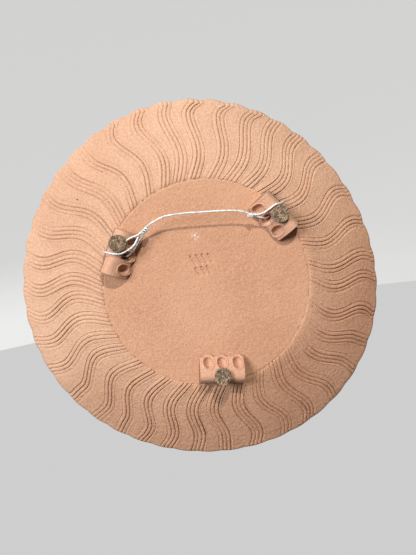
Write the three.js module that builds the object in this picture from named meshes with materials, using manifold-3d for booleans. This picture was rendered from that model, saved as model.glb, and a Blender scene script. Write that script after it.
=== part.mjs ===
// A thrown and combed clay wall plaque, seen best from behind: a shallow round dish, three clay lugs luted
// to its back, a felt bumper on each lug and one length of picture wire looped through the upper two.
//
// Millimetres. +Z is up as the plaque hangs, the glazed face looks along -Y and the wall is on the +Y side.
// Left and right are told from the front. A "clock" angle is in degrees, clockwise as seen from behind, with
// 0 at the top. The model is first laid out about the centre of the dish, with Y = 0 on the flat disc of its
// back, and one group then moves the whole to put the origin on the wire, where the hook takes it.
import * as THREE from 'three';
import { mergeVertices } from 'three/addons/utils/BufferGeometryUtils.js';
import Module from 'manifold-3d';

// ---- Driving dimensions ----

// The dish.
const RIM_RADIUS = 139.3;
const OVAL = { lobes: 2, depth: 2.6, clock: -39 }; // drying and firing pulled the rim this far out of round
const PULL = { lobes: 3, depth: 1.7, clock: 10 };
const SCALLOPS = 45;
const SCALLOP_DEPTH = 1.1; // least depth of the notches between the scallops, at the bottom of the rim
const SCALLOP_SWELL = 0.5; // what they gain from the bottom of the rim to its top
const SCALLOP_FADE = 8; // how fast they die away from the lip inwards
const STEPS_PER_SCALLOP = 4;
const DISC_RADIUS = 77.4; // the scraped flat middle of the back
const DISC_STEP = 0.8; // the combed band starts this much proud of the disc
const BAND_FALL = 22; // from the disc forward to the back edge of the rim
const BAND_BOW = 0.22; // share of that fall which is a bow, steeper towards the rim
const WALL = 7.5;
const LIP = 6; // the rounded lip is this thick
const WELL_RADIUS = 68; // the flat middle of the front
const FACE_SWEEP = Math.PI / 3; // the face rises from the well to the lip like this much of a sine wave
const BAND_POINTS = 6; // on the half section: along the band, round the lip and up the face
const LIP_POINTS = 5;
const FACE_POINTS = 5;

// The lugs: each is a strap of clay, high at the outside and pressed down on the disc at the inside.
const LUG_LENGTH = 33;
const LUG_INNER = -10.5; // across the strap, 0 is its middle and + is towards the rim
const LUG_OUTER = 10.3;
const LUG_CREST = 3.5;
const LUG_SLOPE = 1.6; // power of the long slope from the crest to the inner edge
const LUG_ROUND = 2.4; // power of the short round from the crest to the outer edge
const LUG_HEIGHT = 12.4;
const LUG_TOE = 2.2; // thickness of the pressed inner edge
const LUG_DROP = 6; // the roof falls this much from its crest to its outer edge
const LUG_FOOT = 3; // the strap is luted down from its inner edge to here, and stands clear beyond
const LUG_EAVE = 4.3; // height of the clear space at the outer edge
const EAVE_BEND = 0.6; // share of that height halfway in
const ROOF_POINTS = 14;
const SCOOP = { across: -6.4, height: 7.5, size: [4.8, 5.5, 3.9] }; // tool marks, across, up and along
const SCOOP_SIDES = [16, 10];
const TOE_BULGE = { radius: 4.2, across: -7.4, sides: 20 }; // the clay that each tool mark pushed inwards
const HOLE = { radius: 1.7, height: 3, from: -4.9, to: 12.3, sides: 12 }; // runs right through the outer edge

// The felt and the wire.
const FELT_RADIUS = 6.35;
const FELT_FACE = 15.6; // all three faces stand this far behind the disc
const FELT_SKIRT = 2.4; // the felt is pressed this far down over the round of the lug
const FELT_SIDES = 28;
const WIRE_DIAMETER = 1.4;
const WIRE_STEPS = 76;
const WIRE_SIDES = 8;
const WIRE_DIVISIONS = 2000; // for measuring along the wire's curve

const SEAM = 0.3; // clear gap between pieces that touch
const WELD = 1e-4; // corners closer than this are one

// Each lug: its place and turn on the disc, its three tool marks, its wire hole and its bumper.
const LUGS = [
  {
    side: 'left', radius: 70.1, clock: 53.5, turn: 2.1,
    scoops: [-11.7, -1.5, 9.9], hole: -1.9, felt: [3.1, 1.5],
  },
  {
    side: 'right', radius: 68.6, clock: -61.6, turn: 0.1,
    scoops: [-10.1, 0, 10.6], hole: -0.9, felt: [4.6, 6.8],
  },
  {
    side: 'bottom', radius: 65.7, clock: 180.9, turn: 8.8,
    scoops: [-12, -0.2, 10.2], hole: null, felt: [3.6, 0.2],
  },
];

// Where the hook takes the wire: above the middle of the dish, this far up and this far behind the disc.
const HOOK = new THREE.Vector3(0, 12.6, 53.4);

// The wire from end to end, measured from the hook: up out of the right lug's knot, through the lug, over its
// roof, across to the left lug, over its roof and back through it to the knot there.
const WIRE_ROUTE = [
  [39.8, -3.6, -7.3], [43.5, -3.6, -11], [47.2, -3.8, -15.4], [51.3, -3.5, -19.6], [54.9, -6.3, -22.6],
  [58, -8.9, -22.8], [62.5, -9.3, -20.6], [67.9, -9.5, -18], [71.3, -8, -16.6], [72.2, -5.2, -16.5],
  [71.2, -2, -17.1], [68.1, 0.3, -18.3], [64.3, 1.2, -19.7], [60.1, 1.2, -20.2], [55.2, 0.3, -18.8],
  [50.5, -0.9, -16.5], [47.3, -1.6, -13.1], [44.5, -1.7, -8.9], [40.6, -1.6, -5.8], [35.9, -1.1, -2.8],
  [25.2, -0.2, 0.9], [11.8, 0, 1], [0, 0, 0], [-21.9, -0.2, -2.3], [-32, -1, -4.6], [-38.7, -2, -7.8],
  [-43.9, -1.9, -8.8], [-48.3, -0.9, -8], [-52.5, 0.7, -6], [-57, 1.2, -3.8], [-61.4, -0.2, -3.2],
  [-64.1, -2.8, -2.5], [-65.1, -5.8, -2.6], [-64.3, -8.2, -3.6], [-61.8, -9.5, -5.5],
  [-56.9, -9.3, -9], [-52.7, -8.9, -11.7], [-49.9, -6.3, -12.4], [-46.3, -4, -11.3],
  [-42.8, -4.2, -10], [-38.5, -4.2, -8.7],
];

// ---- Helpers ----

const wasm = await Module();
wasm.setup();

function solidOf(geometry) {
  const bare = geometry.clone();
  bare.deleteAttribute('normal');
  bare.deleteAttribute('uv');
  const merged = mergeVertices(bare, WELD);
  return new wasm.Manifold(new wasm.Mesh({
    numProp: 3,
    vertProperties: new Float32Array(merged.attributes.position.array),
    triVerts: new Uint32Array(merged.index.array),
  }));
}

function geometryOf(solid) {
  const mesh = solid.getMesh();
  const geometry = new THREE.BufferGeometry();
  geometry.setAttribute('position', new THREE.BufferAttribute(new Float32Array(mesh.vertProperties), 3));
  geometry.setIndex(new THREE.BufferAttribute(new Uint32Array(mesh.triVerts), 1));
  geometry.computeVertexNormals();
  return geometry;
}

// This many numbers, evenly spaced from one to the other.
function range(count, from, to) {
  return Array.from({ length: count }, (_, i) => from + ((to - from) * i) / (count - 1));
}

const radians = THREE.MathUtils.degToRad;

// ---- Dish ----

// How far the rim is drawn out of round at a clock angle.
function warpAt(clock) {
  const draw = (pull) => pull.depth * Math.cos(pull.lobes * (clock - radians(pull.clock)));
  return draw(OVAL) + draw(PULL);
}

// How far the rim is cut in between its scallops.
function notchAt(clock) {
  const depth = SCALLOP_DEPTH + SCALLOP_SWELL * Math.cos(clock);
  return depth * (Math.abs(Math.sin((SCALLOPS * clock) / 2)) - 1);
}

// How far behind the disc the band lies, at a share of the way from the disc to the lip.
function bandDepth(share) {
  return DISC_STEP - (DISC_STEP + BAND_FALL) * ((1 - BAND_BOW) * share + BAND_BOW * share * share);
}

// The dish's half section, from the middle of the back round the lip to the middle of the front.
function dishProfile() {
  const point = (radius, y) => new THREE.Vector2(radius, y);
  const lipMiddle = RIM_RADIUS - LIP / 2;
  const bandStart = DISC_RADIUS + DISC_STEP;
  const back = range(BAND_POINTS, 0, 1).map((share) => point(
    THREE.MathUtils.lerp(bandStart, lipMiddle, share),
    bandDepth(share),
  ));
  const lipCentre = bandDepth(1) - LIP / 2;
  const lip = range(LIP_POINTS, 0.5, -0.5).slice(1, -1).map((turn) => point(
    lipMiddle + (LIP / 2) * Math.cos(turn * Math.PI),
    lipCentre + (LIP / 2) * Math.sin(turn * Math.PI),
  ));
  const front = range(FACE_POINTS, 1, 0).map((share) => point(
    THREE.MathUtils.lerp(WELL_RADIUS, lipMiddle, share),
    THREE.MathUtils.lerp(-WALL, bandDepth(1) - LIP, Math.sin(share * FACE_SWEEP) / Math.sin(FACE_SWEEP)),
  ));
  return [point(0, 0), point(DISC_RADIUS, 0), ...back, ...lip, ...front, point(0, -WALL)];
}

// The turned dish, then drawn out of round and scalloped: the draw grows evenly from the well to the rim, and
// the scallops only show in the last of the band.
function dishGeometry() {
  const profile = dishProfile().reverse();
  const geometry = new THREE.LatheGeometry(profile, SCALLOPS * STEPS_PER_SCALLOP);
  const place = geometry.attributes.position;
  for (let i = 0; i < place.count; i += 1) {
    const radius = Math.hypot(place.getX(i), place.getZ(i));
    const share = THREE.MathUtils.clamp((radius - WELL_RADIUS) / (RIM_RADIUS - WELL_RADIUS), 0, 1);
    const clock = Math.atan2(-place.getX(i), place.getZ(i));
    const move = warpAt(clock) * share + notchAt(clock) * share ** SCALLOP_FADE;
    const grow = radius > 0 ? 1 + move / radius : 1;
    place.setXYZ(i, place.getX(i) * grow, place.getY(i), place.getZ(i) * grow);
  }
  return geometryOf(solidOf(geometry));
}

// ---- Lugs ----

// In a lug's own frame X runs across the strap, Y up from the disc and Z along it. This is the roof's height
// across it: a long slope from the pressed inner edge to the crest, and a short round beyond.
function roofHeight(across) {
  if (across < LUG_CREST) {
    const way = (LUG_CREST - across) / (LUG_CREST - LUG_INNER);
    return LUG_TOE + (LUG_HEIGHT - LUG_TOE) * (1 - way ** LUG_SLOPE);
  }
  const fall = (across - LUG_CREST) / (LUG_OUTER - LUG_CREST);
  return LUG_HEIGHT - LUG_DROP * fall ** LUG_ROUND;
}

// The strap's solid, or with grow its roof raised by that much for cutting a neighbour.
function strapSolid(grow = 0) {
  const roof = range(ROOF_POINTS, LUG_OUTER + grow, LUG_INNER - grow).map((across) => {
    const held = THREE.MathUtils.clamp(across, LUG_INNER, LUG_OUTER);
    return new THREE.Vector2(across, roofHeight(held) + grow);
  });
  const under = [
    new THREE.Vector2(LUG_INNER - grow, 0),
    new THREE.Vector2(LUG_FOOT, 0),
    new THREE.Vector2((LUG_FOOT + LUG_OUTER) / 2, LUG_EAVE * EAVE_BEND),
    new THREE.Vector2(LUG_OUTER + grow, LUG_EAVE),
  ];
  const length = LUG_LENGTH + 2 * grow;
  const section = new THREE.Shape([...under, ...roof]);
  const strap = new THREE.ExtrudeGeometry(section, { depth: length, bevelEnabled: false });
  return solidOf(strap.translate(0, 0, -length / 2));
}

// The strap, with the clay that the tool pushed inwards, the marks that it left and the wire's hole.
function lugGeometry({ scoops, hole }) {
  let lug = strapSolid();
  for (const along of scoops) {
    const toe = new THREE.CylinderGeometry(TOE_BULGE.radius, TOE_BULGE.radius, LUG_TOE, TOE_BULGE.sides);
    lug = lug.add(solidOf(toe.translate(TOE_BULGE.across, LUG_TOE / 2, along)));
  }
  for (const along of scoops) {
    const scoop = new THREE.SphereGeometry(1, ...SCOOP_SIDES).scale(...SCOOP.size);
    lug = lug.subtract(solidOf(scoop.translate(SCOOP.across, SCOOP.height, along)));
  }
  if (hole !== null) {
    const bore = new THREE.CylinderGeometry(HOLE.radius, HOLE.radius, HOLE.to - HOLE.from, HOLE.sides);
    bore.rotateZ(Math.PI / 2).translate((HOLE.from + HOLE.to) / 2, HOLE.height, hole);
    lug = lug.subtract(solidOf(bore));
  }
  return geometryOf(lug);
}

// A round bumper whose underside takes the shape of the roof.
function feltGeometry({ felt: [across, along] }) {
  const top = FELT_FACE - SEAM;
  const bottom = LUG_HEIGHT - FELT_SKIRT;
  const pad = new THREE.CylinderGeometry(FELT_RADIUS, FELT_RADIUS, top - bottom, FELT_SIDES);
  pad.translate(across, (top + bottom) / 2, along);
  return geometryOf(solidOf(pad).subtract(strapSolid(SEAM)));
}

// ---- Wire ----

// A tube of a few flat sides along the wire's route.
function wireGeometry() {
  const places = WIRE_ROUTE.map((place) => new THREE.Vector3(...place));
  const route = new THREE.CatmullRomCurve3(places, false, 'catmullrom');
  route.arcLengthDivisions = WIRE_DIVISIONS;
  const turns = range(WIRE_SIDES + 1, 0, Math.PI * 2).slice(0, WIRE_SIDES);
  const corners = turns.map((turn) => new THREE.Vector2(Math.cos(turn), Math.sin(turn)));
  const section = new THREE.Shape(corners.map((corner) => corner.multiplyScalar(WIRE_DIAMETER / 2)));
  return new THREE.ExtrudeGeometry(section, { steps: WIRE_STEPS, extrudePath: route });
}

// ---- Assembly ----

const terracotta = () => new THREE.MeshStandardMaterial({ color: 0xd9a07c, roughness: 0.9, metalness: 0 });
const felt = () => new THREE.MeshStandardMaterial({ color: 0x7a6a55, roughness: 1, metalness: 0 });
const wire = () => new THREE.MeshStandardMaterial({ color: 0xc9cccd, roughness: 0.35, metalness: 1 });

function named(name, geometry, material) {
  const mesh = new THREE.Mesh(geometry, material);
  mesh.name = name;
  return mesh;
}

const plaque = new THREE.Group();

const clayAndFelt = new THREE.Group();
clayAndFelt.position.copy(HOOK).negate();
plaque.add(clayAndFelt);

clayAndFelt.add(named('plaque_body', dishGeometry(), terracotta()));

for (const lug of LUGS) {
  const clock = radians(lug.clock);
  const seat = new THREE.Group();
  seat.position.set(-lug.radius * Math.sin(clock), SEAM, lug.radius * Math.cos(clock));
  seat.rotation.y = -(clock + radians(lug.turn) + Math.PI / 2);
  seat.add(named(`lug_${lug.side}`, lugGeometry(lug), terracotta()));
  seat.add(named(`felt_bumper_${lug.side}`, feltGeometry(lug), felt()));
  clayAndFelt.add(seat);
}

plaque.add(named('hanging_wire', wireGeometry(), wire()));

export default plaque;
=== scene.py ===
# A potter's wall plaque, seen from behind: a combed terracotta dish with a glazed face, three clay lugs luted
# to its back, a felt bumper on each, and a picture wire looped through the upper two.
# The wire's route, the camera and the stage are in metres in the frame. The clay and the felt are in
# millimetres about the middle of the disc on the dish's back, and metres() puts them in the frame.
import math

import bpy
import numpy as np
from mathutils import Matrix, Vector


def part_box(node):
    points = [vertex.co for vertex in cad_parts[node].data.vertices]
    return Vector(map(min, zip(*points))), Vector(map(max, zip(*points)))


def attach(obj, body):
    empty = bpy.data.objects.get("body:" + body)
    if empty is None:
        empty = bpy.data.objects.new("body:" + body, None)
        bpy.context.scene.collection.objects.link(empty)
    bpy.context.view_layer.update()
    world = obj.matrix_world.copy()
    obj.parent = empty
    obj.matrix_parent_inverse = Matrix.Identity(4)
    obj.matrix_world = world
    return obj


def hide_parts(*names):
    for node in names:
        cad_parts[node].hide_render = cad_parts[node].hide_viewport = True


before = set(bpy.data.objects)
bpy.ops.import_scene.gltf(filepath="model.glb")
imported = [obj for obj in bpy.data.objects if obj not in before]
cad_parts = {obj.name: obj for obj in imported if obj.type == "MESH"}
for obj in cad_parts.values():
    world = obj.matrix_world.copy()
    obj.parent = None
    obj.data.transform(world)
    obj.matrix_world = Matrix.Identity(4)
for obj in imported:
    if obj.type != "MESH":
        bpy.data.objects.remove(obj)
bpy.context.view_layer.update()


# ---- Camera ----
# It looks at the combed back from a little above and to one side, and is rolled, because the plaque leans.
# It stands a little over half a metre away.
SENSOR_WIDTH, LENS = 36, 45.405
CAMERA_DISTANCE = 0.5474
bpy.context.scene.view_settings.view_transform = "Standard"
dish_low, dish_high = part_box("plaque_body")
dish_middle = (dish_low + dish_high) / 2
look_at = dish_middle + Vector((-0.0034, -0.0084, 0.0008))
towards_camera = Vector((0.0945, 0.9915, 0.0897)).normalized()
view_up = Vector((-0.1650, 0, 0.9863))
view_right = view_up.cross(towards_camera).normalized()
camera_data = bpy.data.cameras.new("camera")
camera_data.sensor_width = SENSOR_WIDTH
camera_data.lens = LENS
camera_data.clip_start = 0.01
camera = bpy.data.objects.new("camera", camera_data)
bpy.context.scene.collection.objects.link(camera)
turned = Matrix((view_right, towards_camera.cross(view_right), towards_camera)).transposed()
camera.matrix_world = Matrix.Translation(look_at + towards_camera * CAMERA_DISTANCE) @ turned.to_4x4()
bpy.context.scene.camera = camera


# ---- Dish ----
# Thrown from one piece of red clay as a shallow dish. Its back has a scraped flat disc in the middle, and the
# band round that was combed with a four-toothed comb drawn outwards in one wavy stroke after another. The lip
# is pinched into scallops, and the whole face is glazed.
HOOK_ABOVE = np.array((0, 12.6, 53.4))  # where the wire takes the hook: behind and above the disc's middle
RIM_RADIUS = 139.3
OVAL = (2, 2.6, -39)  # lobes, depth and clock angle of what drying and firing did to the rim
PULL = (3, 1.7, 10)
SCALLOPS, SCALLOP_DEPTH, SCALLOP_SWELL, SCALLOP_FADE = 45, 1.1, 0.5, 8
DISC_RADIUS, DISC_STEP = 77.4, 0.8
BAND_FALL, BAND_BOW = 22, 0.22
WALL, LIP, WELL_RADIUS = 7.5, 6, 68
BAND_START, BAND_END = DISC_RADIUS + DISC_STEP, RIM_RADIUS - LIP / 2

# The comb's strokes, drawn freehand: the clock angle of each one's bend, how far it swings back from there to
# its next bend, and how far it flares forward again at the rim. Degrees, clockwise from the top from behind.
STROKES = np.radians((
    (6, 2.5, 3.5), (16.5, 2.5, 3), (26, 2, 2.5), (35.5, 3, 1), (46.5, 5, 1), (57, 5, 1),
    (69.5, 4, 2), (81.5, 3.5, 1.5), (93, 3, 1.5), (102, 4, 1.5), (115, 5.5, 1.5), (124.5, 4, 0),
    (133, 3.5, 0.5), (144, 4, 1), (153.5, 3, 2), (164.5, 5, 1.5), (175, 4.5, 1.5), (187, 4.5, 0),
    (196, 4.5, 0.5), (206.5, 5, 1), (217, 6.5, 1), (226, 6.5, -0.5), (235, 7.5, 0.5), (246.5, 8, -0.5),
    (254, 5.5, 1), (264, 5.5, 1), (273.5, 6.5, 2), (281.5, 5, 2), (291, 5, 1), (301, 4, 0.5),
    (310.5, 3.5, 1), (320, 3, 1), (331, 4.5, 0.5), (340.5, 4, 2.5), (349.5, 4, 2.5), (358, 2.5, 1.5),
))
BEND, BACK_BEND = 0.35, 0.82  # where on the band the two bends are, as a share of its width
FIRST_SWING = math.radians(4.6)
TEETH = 4
TOOTH_PITCH = 3.0
GROOVE = ((-0.66, 0.4), (-0.33, -0.32), (0, -0.7), (0.33, -0.32), (0.66, 0.4))  # places across, heights
PRESS, OUTER_PRESS = (0.85, 1.3), (0.35, 1.1)  # how hard a tooth bears, and the outer two's share of that
FAINT_START = dict(angle=122, spread=30, loss=0.7)  # clock degrees, and the share of a groove's depth lost
FAINT_END = dict(angle=306, spread=36, loss=0.6)
GAP_COLUMNS = 9
BAND_ROWS, LIP_ROWS = 40, 8


def metres(points):
    """From millimetres about the disc's middle to metres in the frame."""
    return (points - HOOK_ABOVE) / 1000


def around_dish(radius, clock, depth):
    """The point at a radius and clock angle, with the rim's draw and its scallops put in: the draw grows
    evenly from the well to the rim, the scallops only show in the last of it."""
    radius, clock, depth = np.broadcast_arrays(radius, clock, depth)
    share = np.clip((radius - WELL_RADIUS) / (RIM_RADIUS - WELL_RADIUS), 0, 1)
    draw = sum(size * np.cos(lobes * (clock - math.radians(phase))) for lobes, size, phase in (OVAL, PULL))
    notch = (SCALLOP_DEPTH + SCALLOP_SWELL * np.cos(clock)) * (np.abs(np.sin(SCALLOPS * clock / 2)) - 1)
    reach = radius + draw * share + notch * share**SCALLOP_FADE
    return np.stack([-reach * np.sin(clock), depth, reach * np.cos(clock)], axis=-1)


def slow_waves(seed, count, *values):
    """A gentle unevenness between about -1 and 1: a few sines of the values with seeded wavelengths."""
    draws = np.random.default_rng(seed)
    total = 0
    for _ in range(count):
        rates = draws.uniform(-1, 1, len(values))
        angle = sum(rate * value for rate, value in zip(rates, values))
        total = total + np.sin(angle + draws.uniform(0, 6.3))
    return total / math.sqrt(count)


def ease(low, high, value):
    """0 below low, 1 above high, and a smooth rise between."""
    t = np.clip((value - low) / (high - low), 0, 1)
    return t * t * (3 - 2 * t)


def faintness(clock, angle, spread, loss):
    """How much weaker the strokes are near a clock angle: a bell of that spread, both in degrees."""
    away = (np.degrees(clock) - angle + 180) % 360 - 180
    return loss * np.exp(-(away / spread) ** 2)


def stroke_middles(share):
    """Clock angle of each stroke's middle along the band: it sweeps forward to its bend in a quarter wave,
    swings back in a half wave, and flares forward to the rim in a parabola."""
    bend, swing, flare = STROKES.T
    share = share[:, None]
    sweep = FIRST_SWING * (1 - np.cos(np.clip(1 - share / BEND, 0, 1) * math.pi / 2))
    back = swing * (1 - np.cos(np.clip((share - BEND) / (BACK_BEND - BEND), 0, 1) * math.pi)) / 2
    out = flare * np.clip((share - BACK_BEND) / (1 - BACK_BEND), 0, 1) ** 2
    return bend - sweep - back + out


def comb_strokes(share):
    """Columns that follow the strokes across the band: for each row, their clock angles and how far the comb
    moved the clay there. Five columns lie across each tooth's groove, one between two grooves, and the rest
    fill the gap up to the next stroke."""
    bend = STROKES[:, 0]
    count = len(STROKES)
    radius = BAND_START + (BAND_END - BAND_START) * share
    middle = stroke_middles(share)
    slant = radius[:, None] * np.gradient(middle, axis=0) / np.gradient(radius)[:, None]
    pitch = (np.roll(middle, -1, axis=1) - middle) % (2 * math.pi)
    room = np.minimum(pitch, np.roll(pitch, 1, axis=1)) / 2
    half = (TEETH - 1) / 2 * TOOTH_PITCH + GROOVE[-1][0]
    spread = np.minimum((1 + slant**2) ** 0.25, 0.95 * radius[:, None] * room / half)
    across, height, tooth = [], [], []
    for k in range(TEETH):
        for place, rise in GROOVE:
            across.append((k - (TEETH - 1) / 2) * TOOTH_PITCH + place)
            height.append(rise)
            tooth.append(k)
        if k < TEETH - 1:
            across.append((k + 1 - TEETH / 2) * TOOTH_PITCH)
            height.append(0)
            tooth.append(k)
    strip = middle[..., None] + np.array(across) * (spread / radius[:, None])[..., None]
    after = np.roll(strip[..., 0], -1, axis=1)
    after[:, -1] += 2 * math.pi
    part = np.arange(1, GAP_COLUMNS + 1) / (GAP_COLUMNS + 1)
    gap = strip[..., -1:] + (after - strip[..., -1])[..., None] * part
    draws = np.random.default_rng(7)
    pressed = draws.uniform(*PRESS, (count, TEETH))
    pressed[:, [0, -1]] *= draws.uniform(*OUTER_PRESS, (count, 2))
    each = np.arange(count * TEETH).reshape(count, TEETH)
    pressed = pressed * (1 + 0.3 * slow_waves(3, 4, share[:, None, None] * 11, each * 2.1))
    begins = 1 - faintness(bend, **FAINT_START) * (1 - ease(0.16, 0.3, share[:, None]))
    lifts = 1 - (0.15 + faintness(bend, **FAINT_END)) * ease(0.84, 0.99, share[:, None])
    strength = pressed * (begins * lifts * np.minimum(spread, 1))[..., None]
    comb = np.array(height) * strength[..., tooth]
    clock = np.concatenate([strip, gap], axis=-1).reshape(len(share), -1)
    comb = np.concatenate([comb, np.zeros_like(gap)], axis=-1).reshape(len(share), -1)
    return radius, clock, comb


def band_depth(share):
    """How far behind the disc the band lies: it starts proud, then falls in a shallow bow."""
    return DISC_STEP - (DISC_STEP + BAND_FALL) * ((1 - BAND_BOW) * share + BAND_BOW * share**2)


def stroke_dents(x, z, strokes, depth, width):
    """Shallow dents along straight strokes (x, z of both ends): deepest in the middle, a bell across."""
    low = np.zeros_like(x)
    for x1, z1, x2, z2 in strokes:
        length = math.hypot(x2 - x1, z2 - z1)
        along = np.clip(((x - x1) * (x2 - x1) + (z - z1) * (z2 - z1)) / length**2, 0, 1)
        away = np.hypot(x - x1 - along * (x2 - x1), z - z1 - along * (z2 - z1))
        low = np.maximum(low, depth * (1 - 0.4 * along) * np.exp(-(away / width) ** 2))
    return low


# The band, from the disc's edge, which wanders and is rounded over, out to the back of the lip.
EDGE_WANDER, EDGE_ROUND, HAND_WAVES = 0.35, 0.9, 0.12
band_share = np.linspace(0, 1, BAND_ROWS) ** 1.15
band_radius, band_clock, band_comb = comb_strokes(band_share)
columns = band_clock.shape[1]
ragged = slow_waves(5, 6, band_clock[:1] * 60, band_clock[:1] * 23) * np.exp(-band_share[:, None] * 40)
band_rows = around_dish(
    band_radius[:, None] + EDGE_WANDER * ragged,
    band_clock,
    band_depth(band_share)[:, None] + band_comb + HAND_WAVES * ragged
    - EDGE_ROUND * np.exp(-band_share[:, None] * 33)
    + HAND_WAVES * slow_waves(11, 5, band_radius[:, None] / 9, band_clock * 9),
)

# The rounded lip, whose columns carry straight on from the band's. Its round starts at about the slope of
# the band.
LIP_SLOPE = 0.45
lip_turn = np.linspace(0.5, -0.5, LIP_ROWS + 2)[1:-1] * math.pi
lip_out = LIP / 2 * np.cos(lip_turn)
lip_fall = LIP_SLOPE * lip_out * (1 - lip_out / (LIP / 2)) * (lip_turn > 0)
lip_rows = around_dish(
    (BAND_END + lip_out)[:, None],
    band_clock[-1:],
    (band_depth(1) - LIP / 2 + LIP / 2 * np.sin(lip_turn) - lip_fall)[:, None]
    + band_comb[-1:] * np.clip(np.sin(lip_turn), 0, 1)[:, None],
)

# The disc and the face have a third of the columns, evenly spread towards the middle.
few = columns // 3
even = np.arange(few) * 2 * math.pi / few
even = even + (band_clock[0, 1::3] - even).mean()
MARK_DEPTH, MARK_WIDTH = 1.3, 0.8
MARKS = (  # two short rows of plain tool strokes: x and z of their ends
    (9.6, 21.6, 6.4, 15.4), (5.2, 21.9, 2.2, 15.6), (0.8, 21.7, -2.0, 15.8), (-3.6, 21.2, -6.0, 15.9),
    (7.2, 12.2, 4.8, 7.0), (2.9, 12.5, 0.5, 7.2), (-1.4, 12.3, -3.6, 7.6),
)


def disc_row_points(radius):
    """Rings of the disc on the back, from the edge inwards."""
    share = (radius[:, None] / DISC_RADIUS) ** 3
    clock = even + (band_clock[0, 1::3] - even) * share
    x, z = -radius[:, None] * np.sin(clock), radius[:, None] * np.cos(clock)
    depth = 0.14 * slow_waves(21, 5, x / 9, z / 9) + 0.05 * slow_waves(22, 6, x / 2.2, z / 2.2)
    depth = depth * (1 - ease(0.97, 1, share)) - stroke_dents(x, z, MARKS, MARK_DEPTH, MARK_WIDTH)
    return around_dish(radius[:, None], clock, depth)


# The rings lie closer where the strokes are. The edge was cut in with a pointed tool, not evenly.
CUT_HALF_WIDTH, MARKED_RADIUS = 0.35, 25
disc_rows = disc_row_points(np.concatenate([
    (DISC_RADIUS + CUT_HALF_WIDTH, DISC_RADIUS - CUT_HALF_WIDTH),
    np.linspace(DISC_RADIUS - 1, MARKED_RADIUS, 22), np.linspace(MARKED_RADIUS - 0.6, 4, 52),
]))
edge_cut = 0.42 + 0.3 * slow_waves(8, 6, even * 37, even * 91)
disc_rows[0, :, 1] -= np.clip(edge_cut, 0.08, 0.9)

# The glazed face: the flared side from the lip down in a sine, the flat well, and throwing rings over both.
FLARE_TURN = math.pi / 3
RING_PITCH, RING_DEPTH = 2.3, 0.28
face_share = np.linspace(0.97, 0, 17)
face_radius = WELL_RADIUS + (BAND_END - WELL_RADIUS) * face_share
flare = np.sin(face_share * FLARE_TURN) / math.sin(FLARE_TURN)
face_depth = -WALL + (band_depth(1) - LIP + WALL) * flare
well_radius = np.linspace(WELL_RADIUS - 4, 4, 10)
face_radius = np.concatenate([face_radius, well_radius])
face_depth = np.concatenate([face_depth, np.full(len(well_radius), -WALL)])
face_clock = even + (band_clock[-1, 1::3] - even) * np.clip((face_radius[:, None] - 60) / 75, 0, 1)
throwing = RING_DEPTH * np.sin(face_radius[:, None] / RING_PITCH + face_clock)
throwing = throwing * ease(3, 20, face_radius[:, None])
face_rows = around_dish(face_radius[:, None], face_clock, face_depth[:, None] + throwing)


def ring_quads(first, second, around):
    """Quads between neighbouring rings of the same count, numbered from first and second."""
    ring = np.arange(around)
    after = (ring + 1) % around
    return np.stack([first + ring, first + after, second + after, second + ring], axis=-1).tolist()


def three_to_one(wide, narrow, around):
    """Faces from a ring of 3 x around points to one of around points: two triangles and a quad for each."""
    ring = np.arange(around)
    first, second, third = wide + 3 * ring, wide + 3 * ring + 1, wide + 3 * ring + 2
    fourth = wide + (3 * ring + 3) % (3 * around)
    here, there = narrow + ring, narrow + (ring + 1) % around
    triangles = [[first, second, here], [second, third, here]]
    triangles = np.vstack([np.stack(corners, axis=-1) for corners in triangles])
    return triangles.tolist() + np.stack([third, fourth, there, here], axis=-1).tolist()


def centre_fan(ring_start, around, middle):
    """Triangles from a ring to one point."""
    ring = np.arange(around)
    corners = [ring_start + ring, ring_start + (ring + 1) % around, np.full(around, middle)]
    return np.stack(corners, axis=-1).tolist()


wide_rows = np.concatenate([band_rows, lip_rows])
disc_start = wide_rows.shape[0] * columns
face_start = disc_start + disc_rows.shape[0] * few
middles = face_start + face_rows.shape[0] * few
dish_points = np.vstack([
    wide_rows.reshape(-1, 3), disc_rows.reshape(-1, 3), face_rows.reshape(-1, 3),
    disc_rows[-1].mean(axis=0), face_rows[-1].mean(axis=0),
])
BARE_LIP_ROWS = 3  # the glaze stops this far round the lip
back_faces, glazed_faces = [], []
for row in range(wide_rows.shape[0] - 1):
    strip = ring_quads(row * columns, (row + 1) * columns, columns)
    (glazed_faces if row >= BAND_ROWS + BARE_LIP_ROWS else back_faces).extend(strip)
back_faces += [face[::-1] for face in three_to_one(0, disc_start, few)]
for row in range(disc_rows.shape[0] - 1):
    back_faces += ring_quads(disc_start + (row + 1) * few, disc_start + row * few, few)
last_ring = disc_start + (disc_rows.shape[0] - 1) * few
back_faces += [face[::-1] for face in centre_fan(last_ring, few, middles)]
last_wide = (wide_rows.shape[0] - 1) * columns
glazed_faces += three_to_one(last_wide, face_start, few)
for row in range(face_rows.shape[0] - 1):
    glazed_faces += ring_quads(face_start + row * few, face_start + (row + 1) * few, few)
glazed_faces += centre_fan(face_start + (face_rows.shape[0] - 1) * few, few, middles + 1)

SCUFF, SCUFF_SIZE = (3.8, 36.4), 2.6  # x and z of a whitish scuff on the disc
SPECK, SPECK_SIZE = (85.4, 77.7), 1  # and of a dark speck of ironstone in the band
dish_mesh = bpy.data.meshes.new("clay_dish")
dish_mesh.from_pydata(metres(dish_points).tolist(), [], back_faces + glazed_faces)
dish_mesh.shade_smooth()
face_slots = np.zeros(len(back_faces) + len(glazed_faces), np.int32)
face_slots[len(back_faces):] = 1
dish_mesh.polygons.foreach_set("material_index", face_slots)

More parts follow.
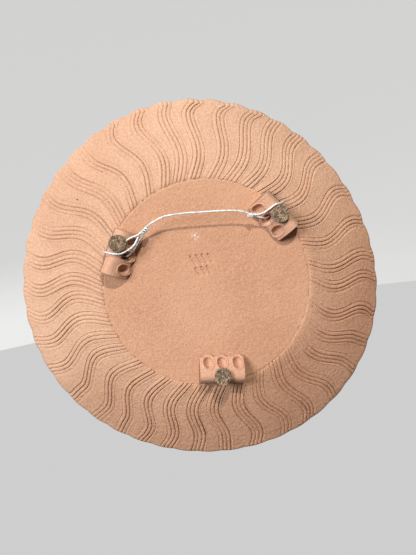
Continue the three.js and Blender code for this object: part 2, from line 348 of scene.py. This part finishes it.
# Two attributes: how far the comb moved the clay, and the marks and edge shade, which are 1 in the scuff and
# below 0 in the speck and, as painted shade, in the deeper nicks of the disc's edge.
combed = np.zeros(len(dish_points), np.float32)
combed[:band_comb.size] = band_comb.ravel()
scuff_away = np.hypot(dish_points[:, 0] - SCUFF[0], dish_points[:, 2] - SCUFF[1])
speck_away = np.hypot(dish_points[:, 0] - SPECK[0], dish_points[:, 2] - SPECK[1])
on_back = dish_points[:, 1] > -BAND_FALL
marks_and_edge_shade = (np.exp(-(scuff_away / SCUFF_SIZE) ** 2) - np.exp(-(speck_away / SPECK_SIZE) ** 2)) * on_back
# Painted shade in the deeper nicks of the disc's edge.
marks_and_edge_shade[disc_start:disc_start + few] = -np.clip((edge_cut - 0.4) * 2, 0, 0.6)
dish_mesh.attributes.new("marks_and_edge_shade", "FLOAT", "POINT").data.foreach_set("value", marks_and_edge_shade.astype(np.float32))
dish_mesh.attributes.new("combed", "FLOAT", "POINT").data.foreach_set("value", combed)
clay_dish = bpy.data.objects.new("clay_dish", dish_mesh)
bpy.context.scene.collection.objects.link(clay_dish)


class Finish:
    """The nodes of one material or group. Each method adds one node, joins or sets what it is given, and
    returns what comes out."""

    def __init__(self, tree):
        self.tree = tree
        self.place = tree.nodes.new("ShaderNodeTexCoord").outputs["Object"]

    def join(self, value, socket):
        if isinstance(value, bpy.types.NodeSocket):
            self.tree.links.new(value, socket)
        else:
            socket.default_value = value

    def make(self, kind, output, settings=(), **properties):
        node = self.tree.nodes.new(kind)
        for name, value in properties.items():
            setattr(node, name, value)
        for name, value in settings:
            self.join(value, node.inputs[name])
        return node.outputs[output]

    def noise(self, scale, detail=2, roughness=0.5, distortion=0):
        return self.make("ShaderNodeTexNoise", "Fac", (
            ("Vector", self.place), ("Scale", scale), ("Detail", detail), ("Roughness", roughness),
            ("Distortion", distortion)))

    def spread(self, value, low, high, out_low=0, out_high=1):
        return self.make("ShaderNodeMapRange", "Result", (
            ("Value", value), ("From Min", low), ("From Max", high),
            ("To Min", out_low), ("To Max", out_high)))

    def number(self, operation, *values, clamp=False):
        return self.make("ShaderNodeMath", "Value", enumerate(values), operation=operation, use_clamp=clamp)

    def vector(self, operation, output, *values):
        return self.make("ShaderNodeVectorMath", output, enumerate(values), operation=operation)

    def tinted(self, colour, blend, other, share):
        return self.make("ShaderNodeMix", "Result", (("Factor", share), ("A", colour), ("B", other)),
                         data_type="RGBA", blend_type=blend)

    def mark(self, name):
        return self.make("ShaderNodeAttribute", "Fac", attribute_name=name)

    def relief(self, height, depth):
        return self.make("ShaderNodeBump", "Normal", (("Height", height), ("Distance", depth)))

    def shades(self, value, stops):
        """A colour ramp through stops, each a position and a colour, in order."""
        node = self.tree.nodes.new("ShaderNodeValToRGB")
        ramp = node.color_ramp
        for element, (position, colour) in zip(ramp.elements, (stops[0], stops[-1])):
            element.position = position
            element.color = colour
        for position, colour in stops[1:-1]:
            ramp.elements.new(position).color = colour
        self.join(value, node.inputs["Fac"])
        return node.outputs["Color"]


def new_finish(name, **settings):
    """A new material, with plain settings on its shader. Returns it, its shader's inputs and its nodes."""
    material = bpy.data.materials.new(name)
    material.use_nodes = True
    surface = material.node_tree.nodes["Principled BSDF"].inputs
    for setting, value in settings.items():
        surface[setting.replace("_", " ")].default_value = value
    return material, surface, Finish(material.node_tree)


def clay_group():
    """Fired red clay: broad blushes between a pale and a deep colour, a sandy grain, and scattered dark grog.
    Grain scales the relief."""
    group = bpy.data.node_groups.new("fired_clay", "ShaderNodeTree")
    for name, kind, way in (
        ("Pale", "NodeSocketColor", "INPUT"), ("Deep", "NodeSocketColor", "INPUT"),
        ("Grain", "NodeSocketFloat", "INPUT"), ("Color", "NodeSocketColor", "OUTPUT"),
        ("Height", "NodeSocketFloat", "OUTPUT"), ("Roughness", "NodeSocketFloat", "OUTPUT"),
    ):
        group.interface.new_socket(name=name, in_out=way, socket_type=kind)
    given = group.nodes.new("NodeGroupInput").outputs
    result = group.nodes.new("NodeGroupOutput").inputs
    nodes = Finish(group)
    sand = nodes.noise(780, 3, 0.6)
    peel = nodes.noise(300)
    blush = nodes.spread(nodes.noise(14, 4), 0.35, 0.65)
    colour = nodes.tinted(given["Pale"], "MIX", given["Deep"], blush)
    colour = nodes.tinted(colour, "MULTIPLY", (0.78, 0.72, 0.68, 1), nodes.spread(sand, 0.52, 0.36, 0, 0.5))
    colour = nodes.tinted(colour, "MIX", (0.84, 0.56, 0.4, 1), nodes.spread(sand, 0.52, 0.7, 0, 0.22))
    grog = nodes.make("ShaderNodeTexVoronoi", "Distance", (("Vector", nodes.place), ("Scale", 190)))
    in_places = nodes.spread(nodes.noise(75, 1), 0.62, 0.66)
    dark = nodes.number("MULTIPLY", nodes.spread(grog, 0.12, 0.06, 0, 0.7), in_places)
    nodes.join(nodes.tinted(colour, "MIX", (0.2, 0.09, 0.05, 1), dark), result["Color"])
    height = nodes.number("ADD", nodes.number("MULTIPLY", peel, 0.7), nodes.number("MULTIPLY", sand, 0.5))
    nodes.join(nodes.number("MULTIPLY", height, given["Grain"]), result["Height"])
    nodes.join(nodes.spread(sand, 0.3, 0.7, 0.95, 0.8), result["Roughness"])
    return group


fired_clay = clay_group()


def clay_finish(name, pale, deep, grain):
    """Bare fired clay from the group. Returns the material, its shader's inputs, its nodes, and the clay's
    colour and height."""
    material, surface, nodes = new_finish(name, Specular_IOR_Level=0.25)
    clay = nodes.tree.nodes.new("ShaderNodeGroup")
    clay.node_tree = fired_clay
    for setting, value in (("Pale", pale), ("Deep", deep), ("Grain", grain)):
        clay.inputs[setting].default_value = value
    nodes.join(clay.outputs["Roughness"], surface["Roughness"])
    return material, surface, nodes, clay.outputs["Color"], clay.outputs["Height"]


def about_middle(nodes):
    """Object coordinates about the dish's middle, and the distance from its axis."""
    centred = nodes.make("ShaderNodeMapping", "Vector", (
        ("Vector", nodes.place), ("Location", (0, 0, HOOK_ABOVE[2] / 1000))))
    across = nodes.vector("MULTIPLY", "Vector", centred, (1, 0, 1))
    return centred, nodes.vector("LENGTH", "Value", across)


# The combed band is painted a little paler than the scraped disc on the half that faces up and to one side,
# towards the lamps, as painted light. Its grooves are a little darker, as painted shade.
dish_clay, surface, nodes, colour, height = clay_finish(
    "combed_clay", (0.605, 0.332, 0.204, 1), (0.535, 0.277, 0.163, 1), 1)
centred, from_middle = about_middle(nodes)
comb_mark = nodes.mark("combed")
on_band = nodes.spread(from_middle, (DISC_RADIUS - 1) / 1000, (DISC_RADIUS + 3) / 1000)
# Painted light: the band is paler on the half that faces up and to one side, towards the lamps.
lit_side = nodes.spread(nodes.vector("DOT_PRODUCT", "Value", centred, (0.6, 0, 0.8)), -0.1, 0.03)
colour = nodes.tinted(colour, "MULTIPLY", (1.03, 1.14, 1.22, 1), nodes.number("MULTIPLY", on_band, lit_side))
# Painted shade in the grooves: darker where the comb cut deepest.
colour = nodes.tinted(colour, "MULTIPLY", (0.62, 0.5, 0.44, 1), nodes.spread(comb_mark, 0, -0.6, 0, 0.15))

# The scuff is white crumbs, and the speck and the painted shade in the nicks are the other way on the same
# scale.
mark = nodes.mark("marks_and_edge_shade")
crumbs = nodes.number("MULTIPLY", nodes.spread(nodes.noise(900), 0.48, 0.6), mark, clamp=True)
colour = nodes.tinted(colour, "MIX", (0.8, 0.71, 0.62, 1), crumbs)
colour = nodes.tinted(colour, "MIX", (0.16, 0.06, 0.04, 1), nodes.spread(mark, -0.25, -0.75))
nodes.join(colour, surface["Base Color"])

# The comb chattered over the sand: fine ticks across the grooves, in patches.
TICK_PITCH = 0.00125
ticks = nodes.make("ShaderNodeTexWave", "Fac", (
    ("Vector", centred), ("Scale", 2 * math.pi / 20 / TICK_PITCH), ("Distortion", 2.5),
), wave_type="RINGS", rings_direction="Y")
patches = nodes.spread(nodes.noise(38), 0.46, 0.6, 0, 0.25)
in_groove = nodes.spread(nodes.number("ABSOLUTE", comb_mark), 0.02, 0.2)
chatter = nodes.number("MULTIPLY", ticks, nodes.number("MULTIPLY", patches, in_groove))
nodes.join(nodes.relief(nodes.number("ADD", height, chatter), 0.0007), surface["Normal"])

# A glossy blue-green glaze, deeper where it pooled in the well, thin and whitish towards the lip.
glaze, surface, nodes = new_finish("turquoise_glaze", Roughness=0.12, Coat_Weight=0.4, Coat_Roughness=0.05)
_, from_middle = about_middle(nodes)
drifted = nodes.number("MULTIPLY_ADD", nodes.noise(30, 5), 0.03, from_middle)
pooled = nodes.shades(nodes.spread(drifted, 0.012, RIM_RADIUS / 1000 + 0.015), (
    (0, (0.16, 0.47, 0.5, 1)), (0.45, (0.22, 0.56, 0.57, 1)), (0.82, (0.36, 0.68, 0.66, 1)),
    (0.93, (0.55, 0.78, 0.75, 1)), (1, (0.85, 0.9, 0.87, 1)),
))
nodes.join(pooled, surface["Base Color"])

dish_mesh.materials.append(dish_clay)
dish_mesh.materials.append(glaze)
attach(clay_dish, "root")
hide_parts("plaque_body")


# ---- Lugs ----
# Each lug is a short strap of the same clay, pressed down along its inner edge with a round tool in three
# places and luted to the disc with slip. Its outer edge stands clear, and the upper two are pierced for the
# wire. Painted shade darkens their creases, outer edges, undersides and ends.
LUG_LENGTH = 33
LUG_INNER, LUG_CREST, LUG_OUTER = -10.5, 3.5, 10.3  # across the strap, + towards the rim
LUG_HEIGHT, LUG_TOE, LUG_DROP = 12.4, 2.2, 6
LUG_SLOPE, LUG_ROUND = 1.6, 2.4  # powers of the hump's two sides
LUG_FOOT, LUG_EAVE = 3, 4.3
LUG_SUNK = -0.15  # its foot is bedded in the disc
# How dark the painted shade on the lugs' end faces is, from 0 to 1.
END_SHADE = 0.5
SCOOP_ACROSS, SCOOP_HEIGHT = -6.4, 7.5
SCOOP_SIZE = (4.8, 5.5, 3.9)  # across, deep and along
SCOOP_BULGE, SCOOP_RIM = 1.5, 0.55  # how far a scoop pushes the inner edge out, and raises its rim
PIT_ACROSS, PIT_SIZE, PIT_FLOOR = -3.6, (2.0, 1.8), 1.6  # the wire's hole, seen from above
ARCH_HALF, ARCH_HEIGHT, ARCH_DEEP = 1.9, 4.6, 5.5  # and its way out under the eave
LUGS = {
    "left": dict(radius=70.1, clock=53.5, turn=2.1, scoops=(-11.7, -1.5, 9.9), hole=-1.9, felt=(3.1, 1.5)),
    "right": dict(radius=68.6, clock=-61.6, turn=0.1, scoops=(-10.1, 0, 10.6), hole=-0.9, felt=(4.6, 6.8)),
    "bottom": dict(
        radius=65.7, clock=180.9, turn=8.8, scoops=(-12, -0.2, 10.2), hole=None, felt=(3.6, 0.2)),
}


def closed_grid(name, rows):
    """A mesh of rings: each row of the grid is a closed ring, neighbouring rings are joined by quads, and the
    first and last ring are each drawn to a point at their middle."""
    count, around = rows.shape[:2]
    points = np.vstack([rows.reshape(-1, 3), rows[0].mean(axis=0), rows[-1].mean(axis=0)])
    ring = np.arange(around)
    after = (ring + 1) % around
    start = (np.arange(count - 1) * around)[:, None]
    quads = np.stack([start + ring, start + after, start + around + after, start + around + ring], axis=-1)
    last = (count - 1) * around
    low_fan = np.stack([after, ring, np.full(around, count * around)], axis=-1)
    high_fan = np.stack([last + ring, last + after, np.full(around, count * around + 1)], axis=-1)
    mesh = bpy.data.meshes.new(name)
    faces = quads.reshape(-1, 4).tolist() + low_fan.tolist() + high_fan.tolist()
    mesh.from_pydata(points.tolist(), [], faces)
    mesh.shade_smooth()
    piece = bpy.data.objects.new(name, mesh)
    bpy.context.scene.collection.objects.link(piece)
    return piece


def on_lug(lug, across, up, along):
    """From a lug's own across, up and along to millimetres about the disc's middle."""
    clock = math.radians(lug["clock"])
    facing = math.radians(lug["clock"] + lug["turn"])
    x = -lug["radius"] * math.sin(clock) - across * math.sin(facing) - along * math.cos(facing)
    z = lug["radius"] * math.cos(clock) + across * math.cos(facing) - along * math.sin(facing)
    return np.stack(np.broadcast_arrays(x, up, z), axis=-1)


def roof_height(across):
    """Height of the plain strap: a hump from the pressed inner edge to the crest, a shorter fall beyond."""
    way = np.clip((LUG_CREST - across) / (LUG_CREST - LUG_INNER), 0, 1)
    fall = np.clip((across - LUG_CREST) / (LUG_OUTER - LUG_CREST), 0, 1)
    return LUG_TOE + (LUG_HEIGHT - LUG_TOE) * (1 - way**LUG_SLOPE) - LUG_DROP * fall**LUG_ROUND


def lug_surface(lug, seed):
    """Sections across the strap, one after another along it: each runs over the roof from the inner edge to
    the outer one and back beneath. The tool's round marks lower the roof and leave a thin rim, and the wire's
    way is a pit in the middle mark and an arch under the eave. The second array is painted shade, from 0 to
    1:
    at the seam of the pressed edge, in the pit, on the eave's edge, on the underside and on the ends."""
    along = np.linspace(-LUG_LENGTH / 2, LUG_LENGTH / 2, 110)[:, None]
    over = np.linspace(0, 1, 84)[None, :]
    inner = np.full_like(along, LUG_INNER + 0.5)
    for place in lug["scoops"]:
        inner = inner - SCOOP_BULGE * np.exp(-((along - place) / 3.1) ** 4)
    inner = inner + 0.25 * slow_waves(seed, 3, along * 0.9)
    outer = LUG_OUTER + 0.25 * slow_waves(seed + 1, 3, along * 0.5)
    across = inner + (outer - inner) * over
    up = roof_height(across) + 0.12 * slow_waves(seed + 2, 5, across * 0.5, along * 0.5)
    for place in lug["scoops"]:
        out_a = (across - SCOOP_ACROSS) / SCOOP_SIZE[0]
        out_t = (along - place) / SCOOP_SIZE[2]
        away = np.sqrt(out_a**2 + out_t**2)
        bowl = SCOOP_HEIGHT - SCOOP_SIZE[1] * np.sqrt(np.clip(1 - away**2, 0, 1))
        up = np.where(away < 1, np.minimum(up, bowl), up)
        up = up + SCOOP_RIM * np.exp(-((away - 1.07) / 0.1) ** 2)
    if lug["hole"] is not None:
        out_a, out_t = (across - PIT_ACROSS) / PIT_SIZE[0], (along - lug["hole"]) / PIT_SIZE[1]
        pit = np.exp(-out_a**4 - out_t**4)
        up = up + (PIT_FLOOR - up) * pit
    up = up * ease(-0.01, 0.035, over)
    across = across + 0.7 * np.exp(-(up / 0.7) ** 2) * (over < 0.1)  # the pressed edge overhangs its seam
    # Painted shade, from 0 to 1: low on the pressed edge, in the pit, along the outer edge, under the strap
    # and on its ends.
    crease_shade = np.exp(-(up / 1.1) ** 2) * (over < 0.3)
    if lug["hole"] is not None:
        crease_shade = np.maximum(crease_shade, pit)
    crease_shade = np.maximum(crease_shade, ease(0.965, 1, over))
    nose = ease(0.955, 1.0, over)
    up = up - 0.9 * nose**2
    roof = np.stack(np.broadcast_arrays(across, up, along), axis=-1)
    under = np.linspace(0, 1, 34)[None, 1:-1]
    arch = np.zeros_like(along)
    if lug["hole"] is not None:
        arch = np.clip(1 - ((along - lug["hole"]) / ARCH_HALF) ** 2, 0, 1)
    foot = LUG_FOOT - ARCH_DEEP * ease(0, 0.5, arch) + 0.3 * slow_waves(seed + 3, 3, along * 0.8)
    clear = ease(0.5, 0.55, under)
    out_half, in_half = outer + (foot - outer) * under * 2, foot + (inner - foot) * (under - 0.5) * 2
    back = np.where(under < 0.5, out_half, in_half)
    eave = LUG_EAVE * np.clip((back - LUG_FOOT) / (LUG_OUTER - LUG_FOOT), 0, 1) ** 0.8
    eave = np.maximum(eave, ARCH_HEIGHT * np.sqrt(arch)) * (1 - clear)
    below = np.stack(np.broadcast_arrays(back, np.where(under < 0.5, eave, LUG_SUNK), along), axis=-1)
    sections = np.concatenate([roof, below], axis=1)
    crease_shade = np.concatenate([crease_shade, np.ones(below.shape[:2])], axis=1)
    # The flat ends: four more sections at each, drawn in more and more, for the round of their edges.
    heart = np.array((0.0, 4.0, 0.0))
    ends = []
    for index, way in ((0, -1), (-1, 1)):
        section = sections[index]
        centre = heart * (1, 1, 0) + section * (0, 0, 1)
        ends.append([centre + (section - centre) * shrink + (0, 0, way * push)
                     for shrink, push in ((0.99, 0.15), (0.965, 0.3), (0.93, 0.36), (0.5, 0.36))])
    sections = np.concatenate([np.array(ends[0][::-1]), sections, np.array(ends[1])])
    # Painted shade on the ends, growing towards the end faces.
    end_shade = np.tile(np.array([[0.05], [0.2], [END_SHADE], [END_SHADE]]), crease_shade.shape[1])
    return sections, np.concatenate([end_shade[::-1], crease_shade, end_shade])


lug_clay, surface, nodes, colour, height = clay_finish(
    "lug_clay", (0.64, 0.37, 0.245, 1), (0.56, 0.305, 0.195, 1), 0.7)
# Painted shade: the clay is darkened towards a deep brown where the shade attribute is high.
colour = nodes.tinted(colour, "MULTIPLY", (0.16, 0.1, 0.075, 1), nodes.mark("crease_shade"))
nodes.join(colour, surface["Base Color"])
nodes.join(nodes.relief(height, 0.0004), surface["Normal"])
for number, (side_name, lug) in enumerate(LUGS.items()):
    sections, crease_shade = lug_surface(lug, 40 + number * 10)
    points = metres(on_lug(lug, sections[..., 0], sections[..., 1], sections[..., 2]))
    piece = closed_grid(f"clay_lug_{side_name}", points[:, ::-1])
    crease_shade = np.concatenate([crease_shade[:, ::-1].ravel(), (END_SHADE, END_SHADE)]).astype(np.float32)
    piece.data.attributes.new("crease_shade", "FLOAT", "POINT").data.foreach_set("value", crease_shade)
    piece.data.materials.append(lug_clay)
    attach(piece, "root")
    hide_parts(f"lug_{side_name}")


# ---- Felt bumpers ----
# A half-inch disc of pressed brown felt, stuck on the crest of each lug and pressed down over its round. Its
# own face is flat and rests against the wall.
FELT_RADIUS, FELT_FACE, FELT_SKIRT = 6.35, 15.6, 2.4


def felt_surface(lug, seed):
    """Rings from the middle of the underside, which takes the roof's shape, round the edge to the middle of
    the flat face. The edge is a little uneven, as cut felt is."""
    around = np.linspace(0, 2 * math.pi, 96, endpoint=False)[None, :]
    uneven = 1 + 0.012 * slow_waves(seed, 6, np.sin(around) * 5, np.cos(around) * 5)
    inwards = np.linspace(0.1, 0.97, 9)[:, None]
    side_up = np.linspace(0, 1, 7)[:, None]
    a0, t0 = lug["felt"]

    def ring(radius, height):
        across, along = a0 + radius * uneven * np.cos(around), t0 + radius * uneven * np.sin(around)
        return across, along, height

    across, along, _ = ring(FELT_RADIUS * inwards, 0)
    floor = np.maximum(roof_height(across) - 0.05, LUG_HEIGHT - FELT_SKIRT)
    below = np.stack([across, floor, along], axis=-1)
    swell = 1 + 0.02 * np.sin(side_up * math.pi)
    across, along, _ = ring(FELT_RADIUS * swell, 0)
    floor = np.maximum(roof_height(across) - 0.05, LUG_HEIGHT - FELT_SKIRT) + 0.15
    wall = np.stack([across, floor + (FELT_FACE - 0.35 - floor) * side_up, along], axis=-1)
    shrink = np.linspace(0.985, 0.05, 16)[:, None]
    across, along, _ = ring(FELT_RADIUS * shrink, 0)
    nap = 1 + slow_waves(seed + 1, 6, across * 2, along * 2)
    top = FELT_FACE - 0.22 * np.exp(-(1 - shrink) * 40) - 0.06 * nap
    face = np.stack([across, top, along], axis=-1)
    return np.concatenate([below, wall, face])


felt, surface, nodes = new_finish("brown_felt", Roughness=0.95, Specular_IOR_Level=0.15, Sheen_Weight=0.3)
fibres = nodes.noise(500, 5, distortion=1.6)
heather = nodes.shades(fibres, (
    (0.34, (0.03, 0.021, 0.013, 1)), (0.5, (0.158, 0.101, 0.06, 1)), (0.68, (0.51, 0.37, 0.245, 1)),
))
nodes.join(heather, surface["Base Color"])
nodes.join(nodes.relief(fibres, 0.0005), surface["Normal"])
for number, (side_name, lug) in enumerate(LUGS.items()):
    rings = felt_surface(lug, 80 + number * 10)
    points = metres(on_lug(lug, rings[..., 0], rings[..., 1], rings[..., 2]))
    piece = closed_grid(f"felt_disc_{side_name}", points[:, ::-1])
    piece.data.materials.append(felt)
    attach(piece, "root")
    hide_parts(f"felt_bumper_{side_name}")


# ---- Picture wire ----
# One length of galvanised picture wire, its strands twisted together. It starts beside one knot, goes through
# that lug and back over its roof, crosses to the other lug and does the same there. Each end is wound round
# the standing part in a few turns, with a tail left over.
WIRE_DIAMETER = 1.4  # in millimetres
WIRE_ROUTE = np.array([
    (0.0398, -0.0036, -0.0073), (0.0435, -0.0036, -0.011), (0.0472, -0.0038, -0.0154),
    (0.0513, -0.0035, -0.0196), (0.0549, -0.0063, -0.0226), (0.058, -0.0089, -0.0228),
    (0.0625, -0.0093, -0.0206), (0.0679, -0.0095, -0.018), (0.0713, -0.008, -0.0166),
    (0.0722, -0.0052, -0.0165), (0.0712, -0.002, -0.0171), (0.0681, 0.0003, -0.0183),
    (0.0643, 0.0012, -0.0197), (0.0601, 0.0012, -0.0202), (0.0552, 0.0003, -0.0188),
    (0.0505, -0.0009, -0.0165), (0.0473, -0.0016, -0.0131), (0.0445, -0.0017, -0.0089),
    (0.0406, -0.0016, -0.0058), (0.0359, -0.0011, -0.0028), (0.0252, -0.0002, 0.0009),
    (0.0118, 0, 0.001), (0, 0, 0), (-0.0219, -0.0002, -0.0023), (-0.032, -0.001, -0.0046),
    (-0.0387, -0.002, -0.0078), (-0.0439, -0.0019, -0.0088), (-0.0483, -0.0009, -0.008),
    (-0.0525, 0.0007, -0.006), (-0.057, 0.0012, -0.0038), (-0.0614, -0.0002, -0.0032),
    (-0.0641, -0.0028, -0.0025), (-0.0651, -0.0058, -0.0026), (-0.0643, -0.0082, -0.0036),
    (-0.0618, -0.0095, -0.0055), (-0.0569, -0.0093, -0.009), (-0.0527, -0.0089, -0.0117),
    (-0.0499, -0.0063, -0.0124), (-0.0463, -0.004, -0.0113), (-0.0428, -0.0042, -0.01),
    (-0.0385, -0.0042, -0.0087),
])


def smooth_route(points, steps=24):
    """Between two points the line is the cubic whose slope at each is half the way between its neighbours;
    the ends carry on straight."""
    ends = np.vstack([2 * points[0] - points[1], points, 2 * points[-1] - points[-2]])
    a, b, c, d = (ends[k:len(ends) - 3 + k, None, :] for k in range(4))
    t = np.linspace(0, 1, steps, endpoint=False)[None, :, None]
    square, cube = 2 * a - 5 * b + 4 * c - d, 3 * b - a - 3 * c + d
    line = b + t * (c - a) / 2 + t**2 * square / 2 + t**3 * cube / 2
    return np.vstack([line.reshape(-1, 3), points[-1]])


def evenly_spaced(line, step):
    """The same line with its points the same short way apart."""
    along = np.concatenate([[0], np.cumsum(np.linalg.norm(np.diff(line, axis=0), axis=1))])
    at = np.linspace(0, along[-1], math.ceil(along[-1] / step) + 1)
    return np.stack([np.interp(at, along, line[:, k]) for k in range(3)], axis=1)


def frames_along(line):
    """Unit tangents, and two normals carried along the line with no more turn than its bends ask for."""
    tangent = np.gradient(line, axis=0)
    tangent /= np.linalg.norm(tangent, axis=1)[:, None]
    normal = np.cross(tangent[0], (0.3, 0.5, 0.8))
    normals = []
    for direction in tangent:
        normal = normal - direction * (normal @ direction)
        normal /= np.linalg.norm(normal)
        normals.append(normal)
    normals = np.array(normals)
    return tangent, normals, np.cross(tangent, normals)


STRANDS = 6
TWIST = 0.0052  # the strands go once round in this length
STRAND_HOLLOW = 0.24  # the section draws in this share of its radius between two strands
CUT_END = 0.55  # and to this share of it at a cut end
RING_STEP = 0.0004


def twisted_wire(name, line):
    """A round section with one lobe for each strand, turned evenly along the line. The first and the last
    ring are drawn in."""
    tangent, first, second = frames_along(line)
    step = np.linalg.norm(line[1] - line[0])
    around = np.linspace(0, 2 * math.pi, 4 * STRANDS, endpoint=False)
    turn = np.arange(len(line))[:, None] * step / TWIST * 2 * math.pi
    lobes = 1 - STRAND_HOLLOW * (1 - np.abs(np.cos(around * STRANDS / 2)))
    radius = WIRE_DIAMETER / 2000 * lobes * np.ones_like(turn)
    radius[[0, -1]] *= CUT_END
    angle = around + turn
    rows = line[:, None, :] + radius[..., None] * (
        np.cos(angle)[..., None] * first[:, None, :] + np.sin(angle)[..., None] * second[:, None, :])
    return closed_grid(name, rows)


def wound_end(start, end, turns, tail):
    """The free end's line: a helix round the standing wire from start to end, then the tail's points."""
    start, end = np.array(start), np.array(end)
    axis = end - start
    direction = axis / np.linalg.norm(axis)
    across = np.cross(direction, (0, 1, 0))
    across /= np.linalg.norm(across)
    behind = np.cross(direction, across)
    t = np.linspace(0, 1, 60)[::4, None]
    angle = t * turns * 2 * math.pi
    helix = start + t * axis + WRAP_RADIUS * (np.cos(angle) * across + np.sin(angle) * behind)
    return evenly_spaced(smooth_route(np.vstack([helix, tail])), RING_STEP)


WRAP_RADIUS = 0.00125
wire_line = evenly_spaced(smooth_route(WIRE_ROUTE), RING_STEP)
hanging_wire = twisted_wire("picture_wire", wire_line)
right_knot = twisted_wire("wire_knot_right", wound_end(
    (0.0374, -0.0022, -0.0048), (0.0425, -0.0020, -0.0084), 3.2,
    [(0.0455, -0.0006, -0.0090), (0.0495, 0.0000, -0.0098), (0.0535, 0.0006, -0.0112),
     (0.0560, 0.0011, -0.0122)]))
left_knot = twisted_wire("wire_knot_left", wound_end(
    (-0.0368, -0.0022, -0.0079), (-0.0402, -0.0026, -0.0090), 2.6,
    [(-0.0410, -0.0042, -0.0094)]))

wire_metal, surface, nodes = new_finish("galvanised_wire", Metallic=0.3)
tarnish = nodes.noise(420, 3)
zinc = nodes.shades(tarnish, ((0.35, (0.5, 0.52, 0.51, 1)), (0.6, (0.85, 0.87, 0.86, 1))))
nodes.join(zinc, surface["Base Color"])
nodes.join(nodes.spread(tarnish, 0, 1, 0.6, 0.38), surface["Roughness"])

for piece in (hanging_wire, right_knot, left_knot):
    piece.data.materials.append(wire_metal)
    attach(piece, "root")
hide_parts("hanging_wire")


# ---- Stage and light ----
# A pale floor that curves up far away all round, and glows a little, so that it looks evenly pale but throws
# no light on the clay. A soft light stands at one side, a small one above draws the wire's shadow, another
# fills the front, and the sky is weak and warm.
FLOOR_REACH, FLOOR_RISE, STAGE_SIDES = (0.9, 4.6), 2.8, 64
floor_level = dish_low.z - 0.0005
reach = np.linspace(*FLOOR_REACH, 24)
rise = FLOOR_RISE * np.clip((reach - 1.1) / 3.5, 0, 1) ** 2.6
profile = np.stack([reach, rise], axis=-1)
turns = np.linspace(0, 2 * math.pi, STAGE_SIDES, endpoint=False)
stage_points = np.stack([
    profile[:, :1] * np.cos(turns), profile[:, :1] * np.sin(turns),
    floor_level + profile[:, 1:] * np.ones_like(turns),
], axis=-1)
stage_faces = []
for row in range(len(profile) - 1):
    stage_faces += ring_quads(row * STAGE_SIDES, (row + 1) * STAGE_SIDES, STAGE_SIDES)
stage_faces.append(list(range(STAGE_SIDES)))
stage_mesh = bpy.data.meshes.new("stage")
stage_mesh.from_pydata(stage_points.reshape(-1, 3).tolist(), [], stage_faces)
stage_mesh.shade_smooth()
stage = bpy.data.objects.new("stage", stage_mesh)
bpy.context.scene.collection.objects.link(stage)
paper = new_finish("paper", Base_Color=(0.1, 0.1, 0.098, 1), Roughness=0.9,
                   Emission_Color=(1, 1, 1, 1), Emission_Strength=0.62)[0]
stage_mesh.materials.append(paper)
stage.visible_diffuse = False

sky = bpy.data.worlds.new("sky")
bpy.context.scene.world = sky
sky.use_nodes = True
sky.node_tree.nodes["Background"].inputs["Color"].default_value = (1, 0.78, 0.56, 1)
sky.node_tree.nodes["Background"].inputs["Strength"].default_value = 0.105


def soft_light(name, direction, distance, size, power, colour=(1, 1, 1)):
    """A square soft light, that far from the dish and facing it."""
    data = bpy.data.lights.new(name, "AREA")
    data.size = size
    data.energy = power
    data.color = colour
    light = bpy.data.objects.new(name, data)
    light.location = dish_middle + direction.normalized() * distance
    light.rotation_mode = "QUATERNION"
    light.rotation_quaternion = direction.to_track_quat("Z", "Y")
    bpy.context.scene.collection.objects.link(light)


behind = Vector((0, 1, 0))
from_side = 0.22 * view_up - 0.64 * view_right + 0.735 * behind
from_above = 0.66 * view_up - 0.02 * view_right + 0.75 * behind
soft_light("side_light", from_side, 1.8, 0.7, 33, (0.97, 1.01, 1.06))
soft_light("top_light", from_above, 1.5, 0.06, 15, (1, 0.98, 0.94))
soft_light("front_fill", Vector((0.5, -1, 0.7)), 1.8, 1.2, 24)
